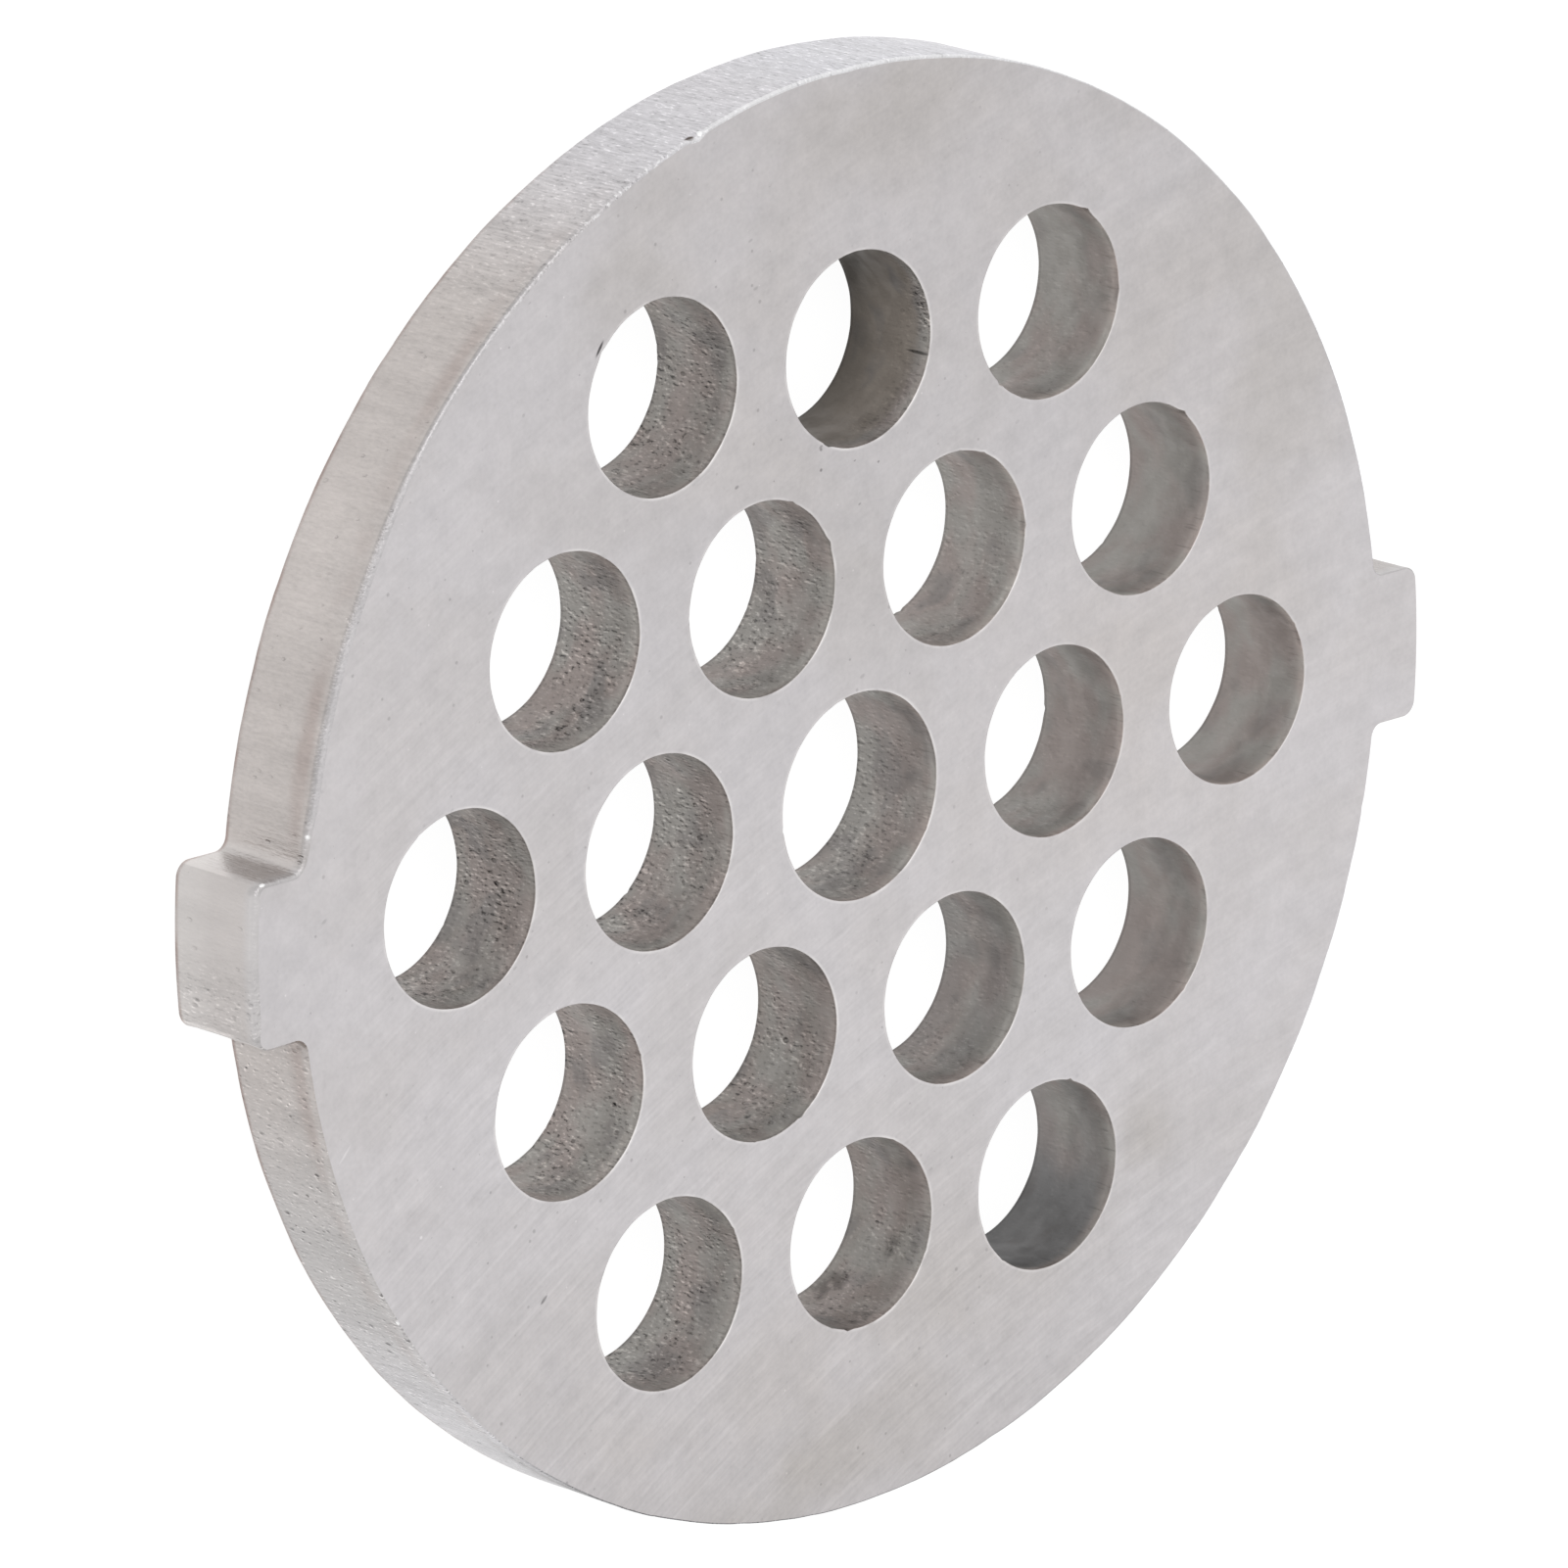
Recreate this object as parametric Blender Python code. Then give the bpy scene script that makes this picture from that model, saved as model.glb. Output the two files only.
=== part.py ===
"""Meat grinder plate, lying on its back face.

One piece of steel: a round plate with rows of equal holes, a wider centre hole that runs on the end of
the feed screw, and two opposite lugs that key the plate into the grinder's head so that it can't turn.

Frame: metres, +Z up. The back face lies on Z = 0, the plate's axis is Z, and the lugs lie on X in line
with the middle row of holes.
"""

import math

import bmesh
import bpy

MM = 0.001

# Holes and the metal between them, from the axis outwards along the middle row
CENTRE_HOLE_DIAMETER = 7.65 * MM
CENTRE_WEB = 2.45 * MM  # between the centre hole and the next hole in its row
HOLE_DIAMETER = 7.1 * MM
HOLE_WEB = 2.4 * MM  # between two neighbouring holes
HOLE_RINGS = 2  # six-sided rings of holes about the centre hole
RIM_LAND = 3.875 * MM  # unbroken metal between the outermost hole and the rim

# Plate
PLATE_THICKNESS = 4.1 * MM
EDGE_BREAK = 0.2 * MM  # rounding of the outer edges, while the holes keep their cutting edges

# Lugs
LUG_WIDTH = 5.75 * MM
LUG_REACH = 2.18 * MM  # how far a lug stands out from the rim
LUG_CORNER_RADIUS = 0.6 * MM
LUG_ROOT_RADIUS = 0.5 * MM

# Fineness of the round stretches
RIM_STEPS = 90  # from one lug to the other
TIP_STEPS = 8
CORNER_STEPS = 5
ROOT_STEPS = 5
EDGE_BREAK_STEPS = 2
HOLE_SIDES = 48

LATTICE_ANGLE = math.radians(60)  # between the three directions in which the holes lie in rows
BREAK_ANGLE = math.radians(60)  # edges of the blank that turn more than this are broken
SHARP_ANGLE = math.radians(50)  # edges of the plate that turn more than this are shaded sharp
CUTTER_OVERRUN = 1.0 * MM  # how far a hole cutter stands out of each face

# Finishes: linear colour and roughness
GROUND_COLOUR = (0.58, 0.56, 0.57)
GROUND_ROUGHNESS = 0.4
CAST_COLOUR = (0.32, 0.30, 0.29)
CAST_ROUGHNESS = 0.6

# What follows from the sizes: the middle row is spread outwards to keep its web beside the wider centre hole
HOLE_PITCH = HOLE_DIAMETER + HOLE_WEB
ROW_STEP = HOLE_PITCH * math.sin(LATTICE_ANGLE)
MIDDLE_ROW_SPREAD = (CENTRE_HOLE_DIAMETER + HOLE_DIAMETER) / 2 + CENTRE_WEB - HOLE_PITCH
PLATE_RADIUS = HOLE_RINGS * HOLE_PITCH + MIDDLE_ROW_SPREAD + HOLE_DIAMETER / 2 + RIM_LAND
LUG_TIP_RADIUS = PLATE_RADIUS + LUG_REACH


def clear_scene():
    for obj in list(bpy.data.objects):
        bpy.data.objects.remove(obj)


def steel(name, colour, roughness):
    """A bare steel finish."""
    material = bpy.data.materials.new(name)
    material.use_nodes = True
    surface = material.node_tree.nodes["Principled BSDF"]
    surface.inputs["Base Color"].default_value = (*colour, 1.0)
    surface.inputs["Metallic"].default_value = 1.0
    surface.inputs["Roughness"].default_value = roughness
    return material


def arc(centre_radius, centre_angle, radius, start, end, steps):
    """Points along an arc, both ends included, whose centre is at a distance and an angle from the axis."""
    x = centre_radius * math.cos(centre_angle)
    y = centre_radius * math.sin(centre_angle)
    angles = [start + (end - start) * step / steps for step in range(steps + 1)]
    return [(x + radius * math.cos(angle), y + radius * math.sin(angle)) for angle in angles]


def lug_outline(root_angle):
    """The outline round the +X lug, from the rim below it to the rim above it.

    The root fillet touches the rim circle and the lug's side, and the corner arc touches the side and the
    end, which is round about the plate's axis. root_angle is where the fillet meets the rim.
    """
    square = math.pi / 2
    root_centre = PLATE_RADIUS + LUG_ROOT_RADIUS
    corner_centre = LUG_TIP_RADIUS - LUG_CORNER_RADIUS
    corner_angle = math.asin((LUG_WIDTH / 2 - LUG_CORNER_RADIUS) / corner_centre)
    root = arc(root_centre, -root_angle, LUG_ROOT_RADIUS, math.pi - root_angle, square, ROOT_STEPS)
    corner = arc(corner_centre, -corner_angle, LUG_CORNER_RADIUS, -square, -corner_angle, CORNER_STEPS)
    end = arc(0, 0, LUG_TIP_RADIUS, -corner_angle, corner_angle, TIP_STEPS)
    lower = root + corner
    upper = [(x, -y) for x, y in reversed(lower)]
    return lower + end[1:-1] + upper


def plate_outline():
    """The whole outline, counter-clockwise: a lug and half of the rim, then the same turned half round."""
    root_angle = math.asin((LUG_WIDTH / 2 + LUG_ROOT_RADIUS) / (PLATE_RADIUS + LUG_ROOT_RADIUS))
    rim = arc(0, 0, PLATE_RADIUS, root_angle, math.pi - root_angle, RIM_STEPS)
    half = lug_outline(root_angle) + rim[1:-1]
    return half + [(-x, -y) for x, y in half]


def hole_centres():
    """Centres of the equal holes: rows along X on a triangular lattice, one hole shorter each way out."""
    centres = []
    for row in range(-HOLE_RINGS, HOLE_RINGS + 1):
        in_row = 2 * HOLE_RINGS + 1 - abs(row)
        for place in range(in_row):
            x = (place - (in_row - 1) / 2) * HOLE_PITCH
            if row == 0 and x == 0:
                continue  # the centre hole's place
            if row == 0:
                x += math.copysign(MIDDLE_ROW_SPREAD, x)
            centres.append((x, row * ROW_STEP))
    return centres


def plate_blank(material):
    """The plate with its lugs and broken outer edges, before the holes are cut."""
    mesh = bpy.data.meshes.new("grinder_plate")
    shape = bmesh.new()
    corners = [shape.verts.new((x, y, 0)) for x, y in plate_outline()]
    base = shape.faces.new(corners)
    grown = bmesh.ops.extrude_face_region(shape, geom=[base])["geom"]
    top = [part for part in grown if isinstance(part, bmesh.types.BMVert)]
    bmesh.ops.translate(shape, vec=(0, 0, PLATE_THICKNESS), verts=top)
    bmesh.ops.recalc_face_normals(shape, faces=shape.faces)
    shape.to_mesh(mesh)
    shape.free()
    mesh.materials.append(material)
    plate = bpy.data.objects.new("grinder_plate", mesh)
    bpy.context.scene.collection.objects.link(plate)
    edges = plate.modifiers.new("edge_break", "BEVEL")
    edges.width = EDGE_BREAK
    edges.segments = EDGE_BREAK_STEPS
    edges.limit_method = "ANGLE"
    edges.angle_limit = BREAK_ANGLE
    return plate


def cutter_mesh(name, diameter, material):
    """A cylinder about Z, long enough to pass both faces of the plate."""
    mesh = bpy.data.meshes.new(name)
    shape = bmesh.new()
    bmesh.ops.create_cone(
        shape,
        cap_ends=True,
        segments=HOLE_SIDES,
        radius1=diameter / 2,
        radius2=diameter / 2,
        depth=PLATE_THICKNESS + 2 * CUTTER_OVERRUN,
    )
    shape.to_mesh(mesh)
    shape.free()
    mesh.materials.append(material)
    return mesh


def hole_cutters(material):
    """One cutter for each hole, in a collection of their own."""
    cutters = bpy.data.collections.new("hole_cutters")
    bpy.context.scene.collection.children.link(cutters)
    feed_hole = cutter_mesh("feed_hole", HOLE_DIAMETER, material)
    centre_hole = cutter_mesh("centre_hole", CENTRE_HOLE_DIAMETER, material)
    places = [(centre_hole, 0, 0)]
    places += [(feed_hole, x, y) for x, y in hole_centres()]
    for mesh, x, y in places:
        cutter = bpy.data.objects.new(mesh.name, mesh)
        cutter.location = (x, y, PLATE_THICKNESS / 2)
        cutter.hide_render = True
        cutter.display_type = "WIRE"
        cutters.objects.link(cutter)
    return cutters


def cut_holes(plate, cutters):
    """Cuts the holes, whose walls take the cutters' finish."""
    cut = plate.modifiers.new("holes", "BOOLEAN")
    cut.operation = "DIFFERENCE"
    cut.operand_type = "COLLECTION"
    cut.collection = cutters
    cut.solver = "EXACT"
    cut.material_mode = "TRANSFER"


def apply_and_shade(plate, cutters):
    """Makes the modifiers' result the plate's own mesh, smooth on its round walls and sharp at its edges."""
    blank = plate.data
    graph = bpy.context.evaluated_depsgraph_get()
    finished = bpy.data.meshes.new_from_object(plate.evaluated_get(graph))
    plate.modifiers.clear()
    plate.data = finished
    bpy.data.meshes.remove(blank)
    finished.name = plate.name
    finished.shade_smooth()
    finished.set_sharp_from_angle(angle=SHARP_ANGLE)
    for cutter in list(cutters.objects):
        bpy.data.objects.remove(cutter)
    bpy.data.collections.remove(cutters)


def main():
    clear_scene()
    ground = steel("ground_steel", GROUND_COLOUR, GROUND_ROUGHNESS)
    as_cast = steel("as_cast_steel", CAST_COLOUR, CAST_ROUGHNESS)
    plate = plate_blank(ground)
    cutters = hole_cutters(as_cast)
    cut_holes(plate, cutters)
    apply_and_shade(plate, cutters)


main()
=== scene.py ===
"""Meat grinder plate, lying on its back face, dressed for its picture.

The plate is one closed surface, worked out with numpy. A profile is carried round each hole, from the middle
of the webs on the front face, down the hole's wall, to the middle of the webs on the back face, and one more
is carried round the outside, over the rim and the lugs. The profiles share their points in the webs.

Frame: metres, +Z up, the back face on Z = 0, the plate's axis on Z and the lugs on X.
"""

import math

import bpy
import numpy as np
from mathutils import Matrix, Vector


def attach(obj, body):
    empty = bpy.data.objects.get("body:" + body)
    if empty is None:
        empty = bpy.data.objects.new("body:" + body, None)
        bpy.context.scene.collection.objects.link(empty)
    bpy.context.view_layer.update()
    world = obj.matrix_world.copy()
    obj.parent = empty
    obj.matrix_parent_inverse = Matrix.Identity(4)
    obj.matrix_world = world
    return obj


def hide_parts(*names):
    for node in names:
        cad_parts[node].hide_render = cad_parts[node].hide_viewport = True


MM = 0.001

# Sizes of the plate, as its CAD has them
CENTRE_HOLE_DIAMETER = 7.65 * MM
CENTRE_WEB = 2.45 * MM
HOLE_DIAMETER = 7.1 * MM
HOLE_WEB = 2.4 * MM
HOLE_RINGS = 2
RIM_LAND = 3.875 * MM
PLATE_THICKNESS = 4.1 * MM
LUG_WIDTH = 5.75 * MM
LUG_REACH = 2.18 * MM
LUG_CORNER_RADIUS = 0.6 * MM
LUG_ROOT_RADIUS = 0.5 * MM
HOLE_PITCH = HOLE_DIAMETER + HOLE_WEB
ROW_STEP = HOLE_PITCH * math.sin(math.radians(60))  # the holes lie on a lattice of 60 degrees
MIDDLE_ROW_SPREAD = (CENTRE_HOLE_DIAMETER + HOLE_DIAMETER) / 2 + CENTRE_WEB - HOLE_PITCH
PLATE_RADIUS = HOLE_RINGS * HOLE_PITCH + MIDDLE_ROW_SPREAD + HOLE_DIAMETER / 2 + RIM_LAND
LUG_TIP_RADIUS = PLATE_RADIUS + LUG_REACH

# Fineness of the surface
WEB_STEPS = 24  # along each of the six webs round a hole
WALL_STEPS = 17  # down a hole's wall
RIM_WALL_STEPS = 16
ARC_POINTS = 400  # on each arc from which the outline's points are read
CORNER_FINENESS = 3.0  # how much closer the outline's points lie on a lug's small arcs than on the rim
END_FINENESS = 0.7
WELD = 0.0001 * MM  # points nearer than this are one
WELD_SHIFT = 0.37  # keeps round lengths away from the steps of the rounding that welds
WAVE_COUNT = 24
HOLE_EDGE_STEPS = 2
FRONT_EDGE_STEPS = 4
BACK_EDGE_STEPS = 3

# Places of the finishes on the mesh, and how many bands of a profile are face at each of its ends
GROUND, DRESSED, CAST = range(3)
HOLE_FACE_BANDS = 3  # half of the edge's rounding is one of them
RIM_FACE_BANDS = 4

# Edges
HOLE_EDGE = 0.05 * MM  # rounding of a hole's edges
EDGE_SUPPORT = 0.08 * MM  # flat metal kept beside each rounded edge
RIM_EDGE = 0.14 * MM  # rounding of the outer edges
CRISP_EDGE = 0.05 * MM  # that of the front one at the +X side, and below the -X lug
SOFT_EDGE = 0.42 * MM  # that of the front one where it is dubbed over, above the -X lug
LUG_SPREAD = 0.25 * MM  # how much further out the -X lug's lower side stands than its upper one

# Rings of points on the faces, between the web points and the rim
INNER_RING = 24.6 * MM
OUTER_RING = 26.0 * MM

# Marks
HOLE_NICKS = np.array([  # in the holes' front edges: a middle, and a size
    (-12.5, 18.7, 0.2),
    (11.45, 19.53, 0.2),
    (16.47, 11.08, 0.16),
    (-1.35, 9.69, 0.2),
    (8.3, 8.46, 0.11),
    (-1.57, 13.16, 0.16),
    (-0.68, -20.0, 0.13),
    (-2.92, -11.29, 0.11),
]) * MM
NICK_SHARE = 0.65  # a nick's depth over its size
RIM_NICK_ANGLE = math.radians(107)  # of the one nick in the rim's front edge
RIM_NICK_DEPTH = 0.16 * MM
WHEEL_MIDDLE = (48.7 * MM, -120.5 * MM, 0.0)  # of the arcs that the grinding wheel has left on the faces

# Camera: the photo's, fitted to the rim, the lugs and every hole edge
CAMERA_AIM = (-3.773 * MM, 1.243 * MM, 4.1 * MM)
CAMERA_DISTANCE = 435.225 * MM
CAMERA_AZIMUTH = -113.2916
CAMERA_ELEVATION = 43.6999
CAMERA_ROLL = -106.2853
CAMERA_LENS = 282.197
SENSOR_WIDTH = 36.0
CAMERA_CLIP = (0.01, 10)


# Shape


def waves(points, size, seed):
    """Random relief over points in space, with a spread of 1.

    It is the sum of plane waves: each is the cosine of the distance along a random direction, over a length
    of about the given size, plus a random phase.
    """
    rng = np.random.default_rng(seed)
    way = rng.normal(size=(WAVE_COUNT, 3))
    way /= np.linalg.norm(way, axis=1, keepdims=True)
    length = size * rng.uniform(0.7, 1.5, (WAVE_COUNT, 1))
    phase = rng.uniform(0, 2 * np.pi, WAVE_COUNT)
    return np.cos(points @ (2 * np.pi * way / length).T + phase).sum(axis=-1) * math.sqrt(2 / WAVE_COUNT)


def hump(distance, width):
    """A smooth hump: e to the minus square of the distance over the width, so 1 in the middle."""
    return np.exp(-((distance / width) ** 2))


def rise(value, middle, width):
    """A smooth step from 0 to 1: one over 1 plus e to the way still to go to the middle, over the width."""
    return 1 / (1 + np.exp((middle - value) / width))


def turned(angle):
    """The unit vector at each angle from +X, counter-clockwise."""
    return np.stack([np.cos(angle), np.sin(angle)], axis=-1)


def lattice(rings):
    """Hole centres in rows along X, on a triangular lattice with its middle row spread outwards."""
    rows = []
    for row in range(-rings, rings + 1):
        x = (np.arange(2 * rings + 1 - abs(row)) - rings + abs(row) / 2) * HOLE_PITCH
        if row == 0:
            x = x + np.sign(x) * MIDDLE_ROW_SPREAD
        rows.append(np.stack([x, np.full_like(x, row * ROW_STEP)], axis=1))
    return np.concatenate(rows)


def web_corners(centres, neighbours):
    """The six points round each centre that are as far from it as from two neighbours next to each other.

    For neighbours at u and v from the centre, the point is |u|² times v turned back by a right angle, less
    |v|² times u turned back, over twice the cross product of u and v.
    """
    offset = neighbours[None] - centres[:, None]
    near = np.argsort(np.linalg.norm(offset, axis=2), axis=1)[:, 1:7]
    offset = np.take_along_axis(offset, near[..., None], axis=1)
    order = np.argsort(np.arctan2(offset[..., 1], offset[..., 0]), axis=1)
    u = np.take_along_axis(offset, order[..., None], axis=1)
    v = np.roll(u, -1, axis=1)
    cross = u[..., :1] * v[..., 1:] - u[..., 1:] * v[..., :1]
    u_back = np.stack([u[..., 1], -u[..., 0]], axis=-1)
    v_back = np.stack([v[..., 1], -v[..., 0]], axis=-1)
    reach = ((u**2).sum(-1, keepdims=True) * v_back - (v**2).sum(-1, keepdims=True) * u_back) / (2 * cross)
    return centres[:, None] + reach


def web_middles(corners):
    """Points along the middles of the webs: each straight run from corner to corner in equal steps."""
    share = np.arange(WEB_STEPS) / WEB_STEPS
    runs = corners[:, :, None] + (np.roll(corners, -1, axis=1) - corners)[:, :, None] * share[:, None]
    return runs.reshape(len(corners), -1, 2)


def edge_profile(radius, steps):
    """A quarter round from a face to a wall, as (distance into the metal, depth) at equal angles."""
    angle = np.linspace(0, np.pi / 2, steps + 1)
    return radius * (1 - np.sin(angle)), radius * (1 - np.cos(angle))


def hole_surfaces(centres, radii, middles):
    """The plate's surface round each hole, as (holes, points round, points down, 3), its tone and highlight.

    A point is the hole's centre, plus the direction of its web point times a radius, which is the web
    point's own distance at both ends of the profile, and between them the hole's radius plus the edge's
    rounding plus the relief of the cast wall, with crumbs at its edges, plus a hump for each nick. The tone
    is how light the wall is, less in a nick. The edge highlight is a painted highlight: 1 on the front edge,
    but 0 in a nick.
    """
    offset = middles - centres[:, None]
    reach = np.linalg.norm(offset, axis=2)
    way = offset / reach[..., None]
    into, down = edge_profile(HOLE_EDGE, HOLE_EDGE_STEPS)
    wall = np.linspace(HOLE_EDGE, PLATE_THICKNESS - HOLE_EDGE, WALL_STEPS + 1)[1:-1]
    beside = HOLE_EDGE + EDGE_SUPPORT
    into = np.concatenate([[0, beside], into, 0 * wall, into[::-1], [beside, 0]])
    depth = np.concatenate([[0, 0], down, wall, PLATE_THICKNESS - down[::-1], [PLATE_THICKNESS] * 2])
    height = PLATE_THICKNESS - depth
    wall_points = np.empty((*way.shape[:2], len(height), 3))
    wall_points[..., :2] = (centres[:, None] + way * radii[:, None, None])[:, :, None]
    wall_points[..., 2] = height
    from_edge = np.minimum(depth, height)
    relief = 0.010 * MM * waves(wall_points, 1.6 * MM, 1) + 0.006 * MM * waves(wall_points, 0.7 * MM, 2)
    relief *= 1 - 0.7 * hump(from_edge, 0.5 * MM)
    crumbs = np.maximum(waves(wall_points, 0.5 * MM, 3) - 1.9, 0)
    relief += 0.05 * MM * crumbs * hump(from_edge, 0.2 * MM)
    nicked = 0
    for x, y, size in HOLE_NICKS:
        nick = hump(np.linalg.norm(wall_points - (x, y, PLATE_THICKNESS), axis=-1), size)
        relief += NICK_SHARE * size * nick
        nicked = nicked + nick
    radius = radii[:, None, None] + into + relief
    radius[..., 0] = radius[..., -1] = reach
    surface = np.empty_like(wall_points)
    surface[..., :2] = centres[:, None, None] + way[:, :, None] * radius[..., None]
    surface[..., 2] = height
    # painted highlight on the rows of the front edge's rounding
    edge_highlight = np.zeros(radius.shape)
    edge_highlight[..., 2], edge_highlight[..., 3] = 0.7, 1
    return surface, hole_tones(centres, way, depth) * (1 - 0.4 * nicked), edge_highlight * (1 - np.minimum(nicked, 1))


def hole_tones(centres, way, depth):
    """How light each hole's wall is, as (holes, points round, points down), with 1 as the usual tone.

    Down the wall it is a level, plus a hump at the front edge, which is a painted highlight, plus a wide
    low hump over the back half. The holes get darker towards +X and -Y, and each differs a little from the
    next. The middle hole of the top row is dark, and darker downwards and at its +Y side. The last one of
    the bottom row is dark at its -Y side.
    """
    # a level, a painted highlight at the front edge, and a low hump over the back half
    down = 0.87 + 0.38 * hump(depth, 0.5 * MM) + 0.07 * hump(depth - 2.55 * MM, 0.6 * MM)
    each = 0.963 + centres @ (-1.7, 2.9) + 0.044 * waves(np.pad(centres, ((0, 0), (0, 1))), 12 * MM, 2526)
    tone = each[:, None, None] * np.broadcast_to(down, (*way.shape[:2], len(depth)))
    top_middle = hump(np.linalg.norm(centres - (0, 2 * ROW_STEP), axis=1), HOLE_WEB)
    bottom_last = hump(np.linalg.norm(centres - (HOLE_PITCH, -2 * ROW_STEP), axis=1), HOLE_WEB)
    sunk = depth / PLATE_THICKNESS
    facing_down, facing_up = (rise(side * way[..., 1:], 0.45, 0.15) for side in (-1, 1))
    darkening = np.minimum(0.2 + 0.54 * sunk + facing_up * (0.1 + 0.26 * sunk), 0.82)
    tone = tone * (1 - top_middle[:, None, None] * darkening)
    return tone * (1 - bottom_last[:, None, None] * (0.04 + 0.46 * facing_down * (0.55 + 0.45 * sunk)))


def plate_outline():
    """The outline as a fine closed line, counter-clockwise, and how close its points are to lie.

    Half of it is the +X lug's lower root fillet and corner, its round end, the same two mirrored in
    reverse, and the rim as far as the other lug. All are arcs, and the lug's sides are the gaps between
    them. The other half is the same turned half round.
    """
    root_angle = math.asin((LUG_WIDTH / 2 + LUG_ROOT_RADIUS) / (PLATE_RADIUS + LUG_ROOT_RADIUS))
    corner_centre = LUG_TIP_RADIUS - LUG_CORNER_RADIUS
    corner_angle = math.asin((LUG_WIDTH / 2 - LUG_CORNER_RADIUS) / corner_centre)
    square = math.pi / 2

    def arc(centre_radius, centre_angle, radius, start, end):
        return centre_radius * turned(centre_angle) + radius * turned(np.linspace(start, end, ARC_POINTS))

    root = arc(PLATE_RADIUS + LUG_ROOT_RADIUS, -root_angle, LUG_ROOT_RADIUS, math.pi - root_angle, square)
    corner = arc(corner_centre, -corner_angle, LUG_CORNER_RADIUS, -square, -corner_angle)
    end = arc(0, 0, LUG_TIP_RADIUS, -corner_angle, corner_angle)
    rim = arc(0, 0, PLATE_RADIUS, root_angle, math.pi - root_angle)
    lower = np.concatenate([root, corner])
    upper = lower[::-1] * (1, -1)
    stretches = [lower, end[1:-1], upper, rim[1:-1]]
    half = np.concatenate(stretches)
    fineness = np.repeat([CORNER_FINENESS, END_FINENESS, CORNER_FINENESS, 1.0], [len(part) for part in stretches])
    return np.concatenate([half, -half]), np.tile(fineness, 2)


def outline_at(turn):
    """The outline's points and outward normals at each turn round the plate.

    The way along the outline is counted from the middle of the +X lug, each length times its fineness, and
    brought to one full turn. The normal is the way along it turned back by a right angle.
    """
    line, fineness = plate_outline()
    step = np.roll(line, -1, axis=0) - line
    length = np.linalg.norm(step, axis=1)
    counted = np.cumsum(length * fineness)
    counted = np.concatenate([[0], counted[:-1]]) * (2 * np.pi / counted[-1])
    on_end = slice(2 * ARC_POINTS, 3 * ARC_POINTS - 2)
    middle = np.interp(0, line[on_end, 1], counted[on_end])
    along = step / length[:, None]
    normal = np.stack([along[:, 1], -along[:, 0]], axis=1)
    read = [np.interp(turn, counted - middle, column, period=2 * np.pi) for column in (*line.T, *normal.T)]
    points, outward = np.stack(read[:2], axis=1), np.stack(read[2:], axis=1)
    return points, outward / np.linalg.norm(outward, axis=1, keepdims=True)


def swung(points, angle):
    """Flat points, each turned about the plate's axis by its own angle."""
    x, y = points.T
    return np.stack([x * np.cos(angle) - y * np.sin(angle), x * np.sin(angle) + y * np.cos(angle)], axis=1)


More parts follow.
